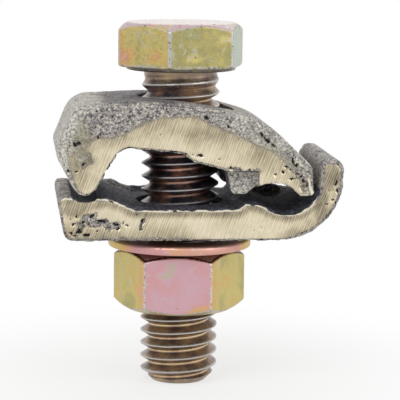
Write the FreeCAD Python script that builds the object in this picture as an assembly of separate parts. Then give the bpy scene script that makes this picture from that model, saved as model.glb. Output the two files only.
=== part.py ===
import FreeCAD, Part
import math
import os
from FreeCAD import Vector

# Cable to plate ground connector: two cast jaws on one hexagon bolt.
# The lower jaw lies on the plate and carries the cable in its hook. The upper jaw
# rocks on a toe at the other end, and the bolt presses it down onto the cable.
# Frame: X along the jaws with the hook at +X, Z up along the bolt, and the origin
# where the bolt axis meets the lower jaw's underside. All sizes are millimetres.

# Bolt: 3/8 inch coarse thread, hexagon head with a bearing collar
thread_major = 9.525
thread_allowance = 0.125
thread_pitch = 1.5875
bolt_length = 38.1
head_across_flats = 13.9
head_height = 5.7
collar_height = 0.4
head_clocking = 15.0
head_gap = 3.5

# Hexagon nut
nut_across_flats = 13.95
nut_height = 7.35
nut_clocking = -6.4
nut_play = 0.1
nut_gap = 0.3

# Chamfers of head and nut: a 30 degree cone that starts inside the flats
hexagon_chamfer = 30.0
chamfer_inset = 0.35

# Flat washer
washer_inset = 0.3
washer_thickness = 1.0
washer_play = 0.775
washer_edge = 0.15
washer_gap = 0.75

# Both jaws: the edges round the two ground sides are broken by a small bevel, and the
# outer edges of the arm and the hook keep the round of the casting
jaw_width = 18.0
hole_play = 0.975
cable_groove_radius = 4.0
edge_bevel = 0.3

# Lower jaw: a flat base whose rises are measured from its upper side
base_thickness = 3.9
foot_x = -14.3
foot_radius = 1.3
lug_x = -15.3
lug_rise = 1.6
lug_radius = 0.9
toe_ridge_x = -9.1
toe_ridge_rise = 1.35
toe_ridge_radius = 1.6
toe_ridge_end_x = -6.0
toe_ridge_end_radius = 1.0
cable_ridge_x = 6.1
cable_ridge_width = 2.5
cable_ridge_rise = 0.7
cable_ridge_slope = 0.8
cable_ridge_radius = 0.5
cable_ridge_end_radius = 1.5
groove_depth = 0.6
groove_lead_in = 0.9
groove_lead_radius = 3.0
hook_x = 18.8
hook_wall = 2.9
hook_upright = 0.9
hook_outer_radius = 7.5
hook_tip_flat = 0.1
hook_edge_radius = 0.8
hook_fade_slope = 20.0

# Toe of the upper jaw and its seat
toe_x = -11.85
toe_rise = 3.1
toe_radius = 1.6
toe_clearance = 0.6
toe_outer_slope = 62.0
toe_inner_slope = 59.0

# Upper jaw: heights are measured from the toe's centre
shoulder_overhang = 0.15
shoulder_radius = 2.0
shoulder_top_x = -13.1
shoulder_top = 9.15
shoulder_top_radius = 3.2
crown_x = -0.2
crown_height = 9.85
crown_radius = 36.0
brow_x = 9.6
brow_height = 7.0
brow_radius = 8.0
nose_clearance = 0.7
nose_height = 1.7
nose_radius = 2.0
tip_height = -1.75
tip_radius = 0.5
tooth_x = 5.3
tooth_height = -1.55
tooth_radius = 0.8
tooth_root_x = 4.75
tooth_root_height = 1.25
tooth_width = 3.1
tooth_setback = 0.9
tooth_margin = 0.5
ledge_x = 0.4
ledge_height = 2.45
ledge_run = 0.9
ledge_radius = 0.4
arch_start_height = 3.3
arch_slope = 5.5
arch_radius = 1.8
upper_groove_x = 10.2
upper_groove_height = -0.15
slot_play = 1.2
arm_edge_radius = 1.6
toe_fade = 1.2
tip_fade = 0.6

# Places that follow from the sizes above
bolt_radius = (thread_major - thread_allowance) / 2
thread_triangle = thread_pitch * math.sqrt(3) / 2
thread_depth = thread_triangle * 17 / 24
hole_radius = (thread_major + hole_play) / 2
shoulder_x = lug_x - shoulder_overhang
toe_z = base_thickness + toe_rise
groove_z = base_thickness - groove_depth
groove_x = hook_x - hook_wall - cable_groove_radius
nose_x = hook_x - hook_wall - nose_clearance
head_z = toe_z + shoulder_top + head_gap
washer_z = -washer_gap - washer_thickness
nut_z = washer_z - nut_gap - nut_height


def corner_spans(corners):
    # Start, middle and end of the arc that rounds each corner (x, z, radius).
    points = [Vector(x, -jaw_width / 2, z) for x, z, radius in corners]
    spans = []
    for index, corner in enumerate(points):
        radius = corners[index][2]
        back = (points[index - 1] - corner).normalize()
        ahead = (points[(index + 1) % len(points)] - corner).normalize()
        half_angle = back.getAngle(ahead) / 2
        reach = radius / math.tan(half_angle)
        sagitta = radius / math.sin(half_angle) - radius
        middle = corner + (back + ahead).normalize() * sagitta
        spans.append((corner + back * reach, middle, corner + ahead * reach))
    return spans


def jaw_prism(corners):
    # Solid as wide as the jaw. A corner of radius 0 stays sharp.
    spans = corner_spans(corners)
    outline = []
    for index, (first, middle, last) in enumerate(spans):
        if corners[index][2] > 0:
            outline.append(Part.Arc(first, middle, last).toShape())
        outline.append(Part.makeLine(last, spans[(index + 1) % len(spans)][0]))
    return Part.Face(Part.Wire(outline)).extrude(Vector(0, jaw_width, 0))


def side_edges(body):
    return [edge for edge in body.Edges if edge.BoundBox.YLength < edge_bevel]


def bevelled_prism(corners):
    body = jaw_prism(corners)
    return body.makeChamfer(edge_bevel, side_edges(body))


def rounded_blank(corners, edge_radius):
    # Blank that a jaw is cut from, rounded round both sides. A straight between two sharp
    # corners lies outside the jaw and stays sharp.
    body = jaw_prism(corners)
    sharp = [Vector(x, 0, z) for x, z, radius in corners if radius == 0]

    def stays_sharp(edge):
        ends = [Vector(vertex.X, 0, vertex.Z) for vertex in edge.Vertexes]
        return all(min(end.distanceToPoint(corner) for corner in sharp) < edge_bevel for end in ends)

    return body.makeFillet(edge_radius, [edge for edge in side_edges(body) if not stays_sharp(edge)])


def cross_cylinder(x, z, radius):
    # Cylinder across the jaw, for the toe's seat and the cable grooves.
    return Part.makeCylinder(radius, 2 * jaw_width, Vector(x, -jaw_width, z), Vector(0, 1, 0))


def toe_corner():
    # Point where the toe's two flanks would meet below its rounded nose.
    outer = math.radians(toe_outer_slope)
    inner = math.radians(toe_inner_slope)
    spread = math.sin(outer + inner)
    x = toe_x - toe_radius * (math.cos(inner) - math.cos(outer)) / spread
    z = toe_z - toe_radius * (math.sin(outer) + math.sin(inner)) / spread
    return x, z


def turned(points):
    # Solid of revolution about the bolt axis from a closed outline of (radius, z) points.
    outline = [Vector(radius, 0, z) for radius, z in points]
    face = Part.Face(Part.makePolygon(outline + outline[:1]))
    return face.revolve(Vector(0, 0, 0), Vector(0, 0, 1), 360)


def hexagon(across_flats, height, base_z, clocking, chamfer_below):
    # Hexagonal prism whose upper corners, and lower ones if asked, are turned off by a cone.
    corners = []
    for index in range(7):
        angle = math.radians(clocking + 60 * index)
        corner_radius = across_flats / math.sqrt(3)
        corners.append(Vector(corner_radius * math.cos(angle), corner_radius * math.sin(angle), base_z))
    prism = Part.Face(Part.makePolygon(corners)).extrude(Vector(0, 0, height))
    rim = across_flats / 2 - chamfer_inset
    reach = across_flats / math.sqrt(3) + chamfer_inset
    drop = (reach - rim) * math.tan(math.radians(hexagon_chamfer))
    top_z = base_z + height
    blank = [(0, top_z), (rim, top_z), (reach, top_z - drop)]
    if chamfer_below:
        blank += [(reach, base_z + drop), (rim, base_z)]
    else:
        blank += [(reach, base_z)]
    blank += [(0, base_z)]
    return prism.common(turned(blank))


def hex_bolt():
    # Fully threaded bolt: plain major diameter, with the end chamfered by the thread's depth.
    collar_radius = head_across_flats / 2 - chamfer_inset
    end_z = head_z - bolt_length
    collar_z = head_z + collar_height
    shank = turned([
        (0, end_z),
        (bolt_radius - thread_depth, end_z),
        (bolt_radius, end_z + thread_depth),
        (bolt_radius, head_z),
        (collar_radius, head_z),
        (collar_radius, collar_z),
        (0, collar_z),
    ])
    head = hexagon(head_across_flats, head_height - collar_height, collar_z, head_clocking, False)
    return shank.fuse(head).removeSplitter()


def hex_nut():
    bore_radius = bolt_radius + nut_play / 2
    blank = hexagon(nut_across_flats, nut_height, nut_z, nut_clocking, True)
    mouth = thread_major / 2 + nut_play
    sink = mouth - bore_radius
    top_z = nut_z + nut_height
    bore = turned([
        (0, nut_z),
        (mouth, nut_z),
        (bore_radius, nut_z + sink),
        (bore_radius, top_z - sink),
        (mouth, top_z),
        (0, top_z),
    ])
    return blank.cut(bore)


def flat_washer():
    inner = (thread_major + washer_play) / 2
    outer = jaw_width / 2 - washer_inset
    top_z = washer_z + washer_thickness
    return turned([
        (inner, washer_z),
        (outer - washer_edge, washer_z),
        (outer, washer_z + washer_edge),
        (outer, top_z - washer_edge),
        (outer - washer_edge, top_z),
        (inner, top_z),
    ])


def lower_jaw():
    top = base_thickness
    hook_inner_x = hook_x - hook_wall
    hook_tip_radius = (hook_wall - hook_tip_flat) / 2
    hook_top = hook_outer_radius + hook_upright + hook_tip_radius
    lead_in_x = groove_x - groove_lead_in
    ridge_top_x = cable_ridge_x + cable_ridge_slope
    body = bevelled_prism([
        (foot_x, 0, foot_radius),
        (lug_x, top + lug_rise, lug_radius),
        (toe_ridge_x, top + toe_ridge_rise, toe_ridge_radius),
        (toe_ridge_end_x, top, toe_ridge_end_radius),
        (cable_ridge_x, top, cable_ridge_radius),
        (ridge_top_x, top + cable_ridge_rise, cable_ridge_radius),
        (lead_in_x - cable_ridge_width, top + cable_ridge_rise, cable_ridge_end_radius),
        (lead_in_x, groove_z, groove_lead_radius),
        (hook_inner_x, groove_z, cable_groove_radius),
        (hook_inner_x, hook_top, hook_tip_radius),
        (hook_x, hook_top, hook_tip_radius),
        (hook_x, 0, hook_outer_radius),
    ])

    # The hook's blank shares its outer curve, then falls away below the base.
    fade = math.radians(hook_fade_slope)
    heel_z = hook_outer_radius * (1 - (1 - math.sin(fade)) / math.cos(fade))
    blank_x = 2 * lug_x
    blank_inner_x = hook_inner_x - hook_edge_radius
    hook_start_z = groove_z + cable_groove_radius
    blank = rounded_blank([
        (blank_inner_x, hook_start_z, 0),
        (blank_inner_x, hook_top, 0),
        (hook_x, hook_top, hook_tip_radius),
        (hook_x, heel_z, hook_outer_radius),
        (blank_x, heel_z - (hook_x - blank_x) * math.tan(fade), 0),
        (blank_x, hook_start_z, 0),
    ], hook_edge_radius)
    seat = cross_cylinder(toe_x, toe_z, toe_radius + toe_clearance)
    hole = Part.makeCylinder(hole_radius, 2 * top, Vector(0, 0, -top / 2))
    return body.common(blank).cut(seat).cut(hole)


def upper_jaw():
    toe_corner_x, toe_corner_z = toe_corner()
    shoulder_z = toe_corner_z + (toe_corner_x - shoulder_x) * math.tan(math.radians(toe_outer_slope))
    ledge_top_x = ledge_x - ledge_run
    arch_fall = math.tan(math.radians(arch_slope))
    flank_rise = math.tan(math.radians(toe_inner_slope))
    arch_level = toe_z + arch_start_height + ledge_top_x * arch_fall
    arch_x = (arch_level - toe_corner_z + toe_corner_x * flank_rise) / (flank_rise + arch_fall)
    arch_z = arch_level - arch_x * arch_fall
    tip_z = toe_z + tip_height
    arm = [
        (shoulder_x, shoulder_z, shoulder_radius),
        (shoulder_top_x, toe_z + shoulder_top, shoulder_top_radius),
        (crown_x, toe_z + crown_height, crown_radius),
        (brow_x, toe_z + brow_height, brow_radius),
        (nose_x, toe_z + nose_height, nose_radius),
    ]
    underside = [
        (nose_x, tip_z, tip_radius),
        (tooth_x, toe_z + tooth_height, tooth_radius),
        (tooth_root_x, toe_z + tooth_root_height, ledge_radius),
        (ledge_x, toe_z + ledge_height, ledge_radius),
        (ledge_top_x, toe_z + arch_start_height, ledge_radius),
        (arch_x, arch_z, arch_radius),
    ]
    body = bevelled_prism([(toe_corner_x, toe_corner_z, toe_radius)] + arm + underside)

    # The arm's blank flares past the toe and the tip, so that its rounding runs out there.
    toe_end = [(toe_corner_x - toe_fade, toe_corner_z, 0)]
    tip_end = [(nose_x + tip_fade, tip_z, 0)]
    body = body.common(rounded_blank(toe_end + arm + tip_end, arm_edge_radius))

    groove_axis_z = toe_z + upper_groove_height - cable_groove_radius
    body = body.cut(cross_cylinder(upper_groove_x, groove_axis_z, cable_groove_radius))
    recess_x = tooth_root_x - 2 * tooth_margin
    recess_length = tooth_x + tooth_width - recess_x
    recess_z = toe_z + tooth_root_height - jaw_width
    for side_y in (-jaw_width / 2 - tooth_setback, jaw_width / 2 - tooth_setback):
        corner = Vector(recess_x, side_y, recess_z)
        body = body.cut(Part.makeBox(recess_length, 2 * tooth_setback, jaw_width, corner))
    return body.cut(bolt_slot())


def bolt_slot():
    # Hole of the upper jaw, longer towards the hook so that the jaw can rock.
    near_end = Part.makeCylinder(hole_radius, 2 * head_z)
    far_end = Part.makeCylinder(hole_radius, 2 * head_z, Vector(slot_play, 0, 0))
    middle = Part.makeBox(slot_play, 2 * hole_radius, 2 * head_z, Vector(0, -hole_radius, 0))
    return near_end.fuse(middle).fuse(far_end).removeSplitter()


os.makedirs("parts", exist_ok=True)
pieces = {
    "lower_jaw": lower_jaw(),
    "upper_jaw": upper_jaw(),
    "hex_bolt": hex_bolt(),
    "flat_washer": flat_washer(),
    "hex_nut": hex_nut(),
}
for name, shape in pieces.items():
    shape.exportStep("parts/" + name + ".step")
    print(name, shape.isValid(), len(shape.Solids), round(shape.Volume, 1))
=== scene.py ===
import math

import bmesh
import bpy
from mathutils import Matrix, Vector, bvhtree, noise


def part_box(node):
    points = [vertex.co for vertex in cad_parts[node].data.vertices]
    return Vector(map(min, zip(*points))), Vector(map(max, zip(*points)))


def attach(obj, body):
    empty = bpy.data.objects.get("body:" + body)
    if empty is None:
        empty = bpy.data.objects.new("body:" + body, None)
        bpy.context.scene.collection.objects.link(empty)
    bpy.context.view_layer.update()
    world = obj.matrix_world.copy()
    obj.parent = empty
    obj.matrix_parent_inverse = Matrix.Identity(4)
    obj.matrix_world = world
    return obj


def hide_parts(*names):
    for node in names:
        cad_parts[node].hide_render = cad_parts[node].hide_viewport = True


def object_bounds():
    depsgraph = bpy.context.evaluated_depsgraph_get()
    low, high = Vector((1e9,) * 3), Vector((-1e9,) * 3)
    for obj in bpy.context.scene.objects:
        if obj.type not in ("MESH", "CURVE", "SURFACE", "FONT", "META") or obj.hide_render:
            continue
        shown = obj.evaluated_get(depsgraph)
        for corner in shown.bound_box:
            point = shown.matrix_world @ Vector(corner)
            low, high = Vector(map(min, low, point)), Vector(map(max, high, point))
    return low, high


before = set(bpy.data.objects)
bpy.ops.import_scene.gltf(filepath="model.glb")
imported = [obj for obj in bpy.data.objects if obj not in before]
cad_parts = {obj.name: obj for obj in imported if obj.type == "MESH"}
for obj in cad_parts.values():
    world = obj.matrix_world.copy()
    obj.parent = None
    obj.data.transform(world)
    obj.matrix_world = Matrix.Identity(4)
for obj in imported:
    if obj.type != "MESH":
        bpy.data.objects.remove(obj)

cad_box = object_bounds()
MM = 0.001


# Lower jaw. The real one is sand-cast bronze: its two sides are ground flat and bright,
# and the rest keeps the coarse skin of the mould. It lies on the plate, its left end
# holds the seat for the upper jaw's toe and its right end is the hook for the cable.

def linear(hex_colour):
    # sRGB hex to linear RGBA
    channels = [int(hex_colour[i:i + 2], 16) / 255 for i in (1, 3, 5)]
    return tuple(c / 12.92 if c <= 0.04045 else ((c + 0.055) / 1.055) ** 2.4 for c in channels) + (1.0,)


def add(tree, kind, inputs=None, **settings):
    # One node with its settings, and a value or an incoming link for each input
    node = tree.nodes.new(kind)
    stops = settings.pop("stops", None)
    for name, value in settings.items():
        setattr(node, name, value)
    for key, value in (inputs or {}).items():
        if isinstance(value, bpy.types.NodeSocket):
            tree.links.new(value, node.inputs[key])
        else:
            node.inputs[key].default_value = value
    if stops:
        elements = node.color_ramp.elements
        while len(elements) < len(stops):
            elements.new(0.5)
        for element, (position, colour) in zip(elements, stops):
            element.position = position
            element.color = linear(colour)
    return node


def smoothstep(low, high, value):
    t = min(max((value - low) / (high - low), 0.0), 1.0)
    return t * t * (3 - 2 * t)


def in_scene(name, data):
    # An object of this name, at the origin
    thing = bpy.data.objects.new(name, data)
    bpy.context.scene.collection.objects.link(thing)
    return thing


def settle(piece):
    # Turns what an object's modifiers make into its own plain mesh
    depsgraph = bpy.context.evaluated_depsgraph_get()
    piece.data = bpy.data.meshes.new_from_object(piece.evaluated_get(depsgraph))
    piece.modifiers.clear()


def store(mesh, title, values):
    # A number at each point of a mesh, for the material to read
    layer = mesh.attributes.new(title, "FLOAT", "POINT")
    layer.data.foreach_set("value", values)


def even_copy(node, name, grid_mm):
    # Closed copy of a solid on an even grid, set back onto the solid's own surface
    solid = bmesh.new()
    solid.from_mesh(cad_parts[node].data)
    bmesh.ops.remove_doubles(solid, verts=solid.verts, dist=1e-7)
    surface = bvhtree.BVHTree.FromBMesh(solid)
    mesh = bpy.data.meshes.new(name)
    solid.to_mesh(mesh)
    solid.free()
    piece = in_scene(name, mesh)
    remesh = piece.modifiers.new("even grid", "REMESH")
    remesh.mode = "VOXEL"
    remesh.voxel_size = grid_mm * MM
    settle(piece)
    for vertex in piece.data.vertices:
        vertex.co = surface.find_nearest(vertex.co)[0]
    piece.data.update()
    return piece


def line_distance(x, z, line):
    # Distance in mm to an open line of points, positive on its left side
    best, side = 1e9, 1.0
    for (x0, z0), (x1, z1) in zip(line, line[1:]):
        dx, dz = x1 - x0, z1 - z0
        t = min(max(((x - x0) * dx + (z - z0) * dz) / (dx * dx + dz * dz), 0.0), 1.0)
        ex, ez = x - x0 - t * dx, z - z0 - t * dz
        distance = math.hypot(ex, ez)
        if distance < best:
            best = distance
            side = 1.0 if dx * ez - dz * ex > 0 else -1.0
    return best * side


def blot(x, z, blots):
    # 1 in the middle of the nearest soft spot, 0 at its rim and negative outside it.
    # A spot is (x, z, half length, half height, turn).
    value = -1.0
    for cx, cz, a, b, turn in blots:
        c, s = math.cos(turn), math.sin(turn)
        u = ((x - cx) * c + (z - cz) * s) / a
        v = ((z - cz) * c - (x - cx) * s) / b
        value = max(value, 1.0 - math.hypot(u, v))
    return value


def level(x, points):
    # Height at x of a line through points (x, height)
    for (x0, h0), (x1, h1) in zip(points, points[1:]):
        if x0 <= x < x1:
            return h0 + (h1 - h0) * (x - x0) / (x1 - x0)
    return 0.0


# Depths in mm of the cast surface's marks
rubbed_depth, skin_depth, grain_depth, fine_depth = 0.010, 0.03, 0.07, 0.06
unground_depth, patch_depth, hole_depth, chip_depth = 0.16, 0.10, 0.28, 0.13


def cast_surface(piece, node, seed, past_of, stain_of, shade_of, smooth_and_lit_of, rim_wear_and_highlight_of, flash_of, pits, patches):
    # Works grain, pits, hollows and flash into an even copy. All but the flash goes inwards, so
    # that the piece stays inside the solid. past_of gives the mm by which a place of the side
    # lies past the ground area, flash_of a height in mm, and the others a share from 0 to 1.
    mesh = piece.data
    lowest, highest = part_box(node)
    layers = {title: [] for title in ("skin", "stain", "painted_shade", "smooth_and_lit", "pit", "rim")}
    shift = Vector((seed * 13.7, seed * 7.1, seed * 3.3))
    nick_shift = Vector((40.0, 0.0, 0.0))
    moved = []
    for vertex in mesh.vertices:
        p = vertex.co / MM
        n = vertex.normal
        side = 1 if p.y > 0 else -1
        q = p + shift
        wave = noise.noise(q * 0.55)
        grain = noise.noise(q * 1.9)
        fine = noise.noise(q * 3.9)
        drift = noise.noise_vector(q * 0.9)
        nick = smoothstep(0.20, 0.50, noise.noise(q * 1.1 + nick_shift))
        spot = blot(p.x + 0.22 * grain, p.z + 0.22 * fine, pits[side])
        patch = blot(p.x + 0.8 * drift.x + 0.25 * grain, p.z + 0.8 * drift.z + 0.25 * fine, patches[side])

        # The side is flat, and a bevel and a border lie round it
        flat = smoothstep(0.93, 0.995, abs(n.y)) * smoothstep(8.2, 8.9, abs(p.y))
        bevel = smoothstep(0.2, 0.45, abs(n.y)) * (1.0 - smoothstep(0.86, 0.97, abs(n.y)))
        bevel *= smoothstep(8.5, 8.75, abs(p.y))
        border = smoothstep(7.8, 8.8, abs(p.y)) * (1.0 - flat)
        past = past_of(p.x, p.z, side) + 0.30 * wave + 0.15 * grain
        ground = (1.0 - smoothstep(-0.6, 0.8, past)) * (1.0 - smoothstep(0.0, 0.35, patch))
        near_skin = smoothstep(-2.2, 0.0, past) * (1.0 - smoothstep(0.0, 0.4, past))
        skin = 1.0 - flat * ground
        smooth_and_lit = smooth_and_lit_of(p, n)
        # The rim share is a rubbed edge and a painted highlight on the bevel
        rim = rim_wear_and_highlight_of(p, n)
        hole = smoothstep(0.0, 0.45, spot)
        chip = (bevel + 0.5 * flat * (1.0 - ground)) * nick

        grains = skin_depth + grain_depth * (0.5 + 0.5 * grain) + fine_depth * (0.5 + 0.5 * fine)
        depth = rubbed_depth * (0.5 + 0.5 * wave)
        depth += skin * (1.0 - 0.6 * smooth_and_lit) * grains
        depth += flat * unground_depth * smoothstep(0.0, 1.6, past)
        depth += flat * patch_depth * smoothstep(0.0, 0.6, patch)
        depth += hole_depth * hole + chip_depth * chip
        depth += border * max(0.08 + 0.26 * noise.noise(q * 0.8) + 0.14 * grain, 0.0)
        depth -= flash_of(p, n) * (0.95 + 0.28 * grain + 0.24 * fine)
        place = vertex.co - n * depth * MM
        moved.append([min(max(value, low), high) for value, low, high in zip(place, lowest, highest)])

        layers["skin"].append(skin)
        layers["stain"].append(max(stain_of(p.x, p.z, side), 0.7 * near_skin) * flat)
        # Painted shade: dark colour where the inside lies in shade, kept off the flat sides and the bright
        # rims
        layers["painted_shade"].append(shade_of(p, n) * (1.0 - flat) * (1.0 - bevel * min(2.0 * rim, 1.0)))
        layers["smooth_and_lit"].append(smooth_and_lit)
        layers["pit"].append(max(hole, 0.7 * chip, 0.5 * smoothstep(0.0, 0.8, patch) * nick))
        layers["rim"].append(bevel * rim)
    for vertex, place in zip(mesh.vertices, moved):
        vertex.co = place
    for title, values in layers.items():
        store(mesh, title, values)
    mesh.shade_smooth()


def blank_material(title):
    # A material and its emptied node tree
    material = bpy.data.materials.new(title)
    material.use_nodes = True
    material.node_tree.nodes.clear()
    return material, material.node_tree


def metal_finish(tree, colour, metallic, roughness, relief, depth, coat=None):
    # Ends a metal's tree. The relief, from 0 to 1, is raised to a depth in metres.
    height = add(tree, "ShaderNodeMath", {0: relief, 1: depth}, operation="MULTIPLY").outputs[0]
    bump = add(tree, "ShaderNodeBump", {"Height": height, "Distance": 1.0, "Strength": 1.0}).outputs["Normal"]
    shader = add(tree, "ShaderNodeBsdfPrincipled", {
        "Base Color": colour, "Metallic": metallic, "Roughness": roughness, "Normal": bump, **(coat or {})})
    add(tree, "ShaderNodeOutputMaterial", {"Surface": shader.outputs["BSDF"]})


def ground_bronze():
    # Sand-cast bronze, belt-ground on two sides. The ground metal is pale straw with slanted
    # grinding lines and browner where the belt barely touched it. The mould skin is a crust of
    # bright and dark grains. The inside, which no grinder reaches, is painted near black as shade.
    material, tree = blank_material("cast bronze, ground sides")
    place = add(tree, "ShaderNodeTexCoord").outputs["Object"]
    skin, stain, painted_shade, smooth_and_lit, pit, rim = (
        add(tree, "ShaderNodeAttribute", attribute_name=title).outputs["Fac"]
        for title in ("skin", "stain", "painted_shade", "smooth_and_lit", "pit", "rim"))

    # Grinding lines lean to the right. They are 0.13 and 0.27 mm apart, coarser than the real 0.1 mm
    leaning = add(tree, "ShaderNodeMapping", {"Vector": place, "Rotation": (0.0, math.radians(-21), 0.0)},
                  vector_type="POINT").outputs["Vector"]
    drawn_out = add(tree, "ShaderNodeVectorMath", {0: leaning, 1: (1.0, 0.25, 0.09)},
                    operation="MULTIPLY").outputs["Vector"]
    lines = add(tree, "ShaderNodeTexNoise", {
        "Vector": drawn_out, "Scale": 1 / (0.13 * MM), "Detail": 1.0, "Roughness": 0.6}).outputs["Fac"]
    hatch = add(tree, "ShaderNodeTexWave", {
        "Vector": drawn_out, "Scale": math.pi / (10 * 0.27 * MM), "Distortion": 12.0, "Detail": 2.0,
        "Detail Scale": 0.6, "Detail Roughness": 0.6}).outputs["Fac"]
    broad = add(tree, "ShaderNodeTexNoise", {
        "Vector": place, "Scale": 1 / (3.0 * MM), "Detail": 6.0, "Roughness": 0.65}).outputs["Fac"]
    tone = 0.205
    for pattern, share in ((lines, 0.20), (hatch, 0.09), (broad, 0.38), (stain, -0.20)):
        tone = add(tree, "ShaderNodeMath", {0: pattern, 1: share, 2: tone},
                   operation="MULTIPLY_ADD").outputs[0]
    straw = add(tree, "ShaderNodeValToRGB", {"Fac": tone}, stops=[
        (0.22, "#64594A"), (0.33, "#978C77"), (0.44, "#C3B79B"), (0.54, "#DDD1B5"),
        (0.70, "#EFE7D2")]).outputs["Color"]

    # Mould grains are 0.15 to 0.3 mm across, in clumps of about 2 mm
    cells = add(tree, "ShaderNodeTexVoronoi", {"Vector": place, "Scale": 1 / (0.18 * MM), "Randomness": 1.0})
    cell = add(tree, "ShaderNodeSeparateColor", {"Color": cells.outputs["Color"]}).outputs[0]
    crumbs = add(tree, "ShaderNodeTexNoise", {
        "Vector": place, "Scale": 1 / (0.34 * MM), "Detail": 4.0, "Roughness": 0.75}).outputs["Fac"]
    clumps = add(tree, "ShaderNodeTexNoise", {
        "Vector": place, "Scale": 1 / (2.2 * MM), "Detail": 2.0}).outputs["Fac"]
    speckle = -0.32
    for pattern, share in ((cell, 0.24), (crumbs, 1.10), (clumps, 0.30)):
        speckle = add(tree, "ShaderNodeMath", {0: pattern, 1: share, 2: speckle},
                      operation="MULTIPLY_ADD").outputs[0]
    # The last of these ramps is the painted shade of the inside: near black with grey-blue flecks
    crust, fine_skin, painted_shade_colour = (
        add(tree, "ShaderNodeValToRGB", {"Fac": speckle}, stops=stops).outputs["Color"]
        for stops in (
            [(0.28, "#3A3638"), (0.38, "#676265"), (0.48, "#969090"), (0.58, "#B7B1AA"), (0.68, "#DDD5C4"),
             (0.77, "#FCF7E9")],
            [(0.30, "#6F6C66"), (0.40, "#A5A29A"), (0.52, "#CCC9BF"), (0.70, "#F1EEE6")],
            [(0.36, "#18181F"), (0.48, "#34343F"), (0.60, "#5E606D"), (0.74, "#9296A2")]))
    # A finer skin is paler; on the upper jaw's tooth that paleness is painted light
    tarnish = add(tree, "ShaderNodeMath", {0: stain, 1: 0.55}, operation="MULTIPLY").outputs[0]
    for share, over in ((smooth_and_lit, fine_skin), (tarnish, linear("#9C9474"))):
        crust = add(tree, "ShaderNodeMix", {0: share, 6: crust, 7: over}, data_type="RGBA").outputs[2]

    # Skin, bright rims with a painted highlight, painted shade and holes each end in a ragged line, cut by
    # the grains
    colour = straw
    shares = []
    for layer, raggedness, low, high, over in (
            (skin, 1.1, 0.80, 1.10, crust), (rim, 0.9, 0.80, 1.15, linear("#F7F0DA")),
            (painted_shade, 0.5, 0.55, 0.95, painted_shade_colour), (pit, -1.8, -0.45, -0.25, linear("#231F20"))):
        share = add(tree, "ShaderNodeMath", {0: crumbs, 1: raggedness, 2: layer},
                    operation="MULTIPLY_ADD").outputs[0]
        share = add(tree, "ShaderNodeMapRange", {"Value": share, "From Min": low, "From Max": high},
                    interpolation_type="SMOOTHSTEP").outputs["Result"]
        colour = add(tree, "ShaderNodeMix", {0: share, 6: colour, 7: over}, data_type="RGBA").outputs[2]
        shares.append(share)
    rough = shares[0]

    metal, sheen, reach = (
        add(tree, "ShaderNodeMapRange", {"Value": rough, "To Min": ground, "To Max": cast}).outputs["Result"]
        for ground, cast in ((0.75, 0.25), (0.42, 0.66), (0.008 * MM, 0.18 * MM)))
    relief = add(tree, "ShaderNodeMix", {0: rough, 2: lines, 3: speckle}, data_type="FLOAT").outputs[0]
    metal_finish(tree, colour, metal, sheen, relief, reach)
    return material


# Blender's vector noise takes its offsets from this seed, and from the clock without one
noise.seed_set(24)

bronze = ground_bronze()
cast_grid = 0.18
lower = even_copy("lower_jaw", "lower_jaw_casting", cast_grid)

# Edges of the side face, as points (x, z) in mm
lower_top = [(-14.6, 5.3), (-13.4, 5.3), (-12.4, 4.9), (-11.4, 4.8), (-10.2, 5.1), (-9.1, 5.2), (-7.8, 4.8),
             (-6.2, 4.0), (6.1, 3.9), (7.0, 4.6), (8.4, 4.6), (10.2, 3.8), (11.9, 3.3), (13.6, 3.7),
             (15.0, 4.8), (15.8, 6.6)]
lower_bottom = [(-14.3, 0.0), (-0.5, -0.1)]
hook_round = [(12.6, 0.0), (15.8, 1.2), (18.0, 3.8), (18.8, 7.2), (18.8, 11.0)]


def lower_past(x, z, side):
    # The grinder missed the hook's outer round and the lower edge at the left
    hook = 0.35 - abs(line_distance(x, z, hook_round))
    foot = (0.6 if side < 0 else 0.35) - abs(line_distance(x, z, lower_bottom))
    return max(hook, foot, -3.0)


def lower_stain(x, z, side):
    # Brown below the upper edge, and in streaks at the left and on the hook
    under_rim = 1.0 - smoothstep(0.6, 1.45, abs(line_distance(x, z, lower_top)))
    if side > 0:
        return under_rim
    streaks = [(-13.0, 3.9, 2.4, 1.3, 0.0), (15.9, 4.6, 1.2, 4.0, -0.05), (17.0, 7.8, 1.9, 2.8, 0.0)]
    return max(under_rim, smoothstep(0.0, 0.6, blot(x, z, streaks)))


def lower_painted_shade(p, n):
    # Painted shade: the top side between lug and hook is black, but for a few places by the back edge
    top = smoothstep(2.6, 3.2, p.z) * smoothstep(-14.2, -12.8, p.x)
    bare = smoothstep(5.0, 7.0, p.y) * (smoothstep(9.0, 10.0, p.x) + smoothstep(-5.0, -6.0, p.x))
    bare = max(bare, 0.6 * smoothstep(0.0, 0.5, blot(p.x, p.y, [(7.0, -1.0, 1.4, 3.0, 0.0)])))
    return top * (1.0 - 0.85 * bare) * (1.0 - smoothstep(15.4, 16.2, p.x + 0.25 * (p.z - 6.0)))


def lower_smooth(p, n):
    # The lug's outer end, the underside and the hook's tip come finer from the mould
    end = smoothstep(-14.6, -15.1, p.x) * (1.0 - smoothstep(3.6, 4.6, p.z))
    return max(end, 0.5 * smoothstep(0.7, 0.95, -n.z), 0.35 * smoothstep(9.0, 10.5, p.z))


def lower_rim_wear_and_highlight(p, n):
    # The rim round the top side is rubbed bright, with a painted highlight on its upward bevel, and less so
    # on the hook
    return smoothstep(0.1, 0.3, n.z) * smoothstep(-15.0, -14.6, p.x) * (1.0 if p.x < 15.2 else 0.4)


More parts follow.
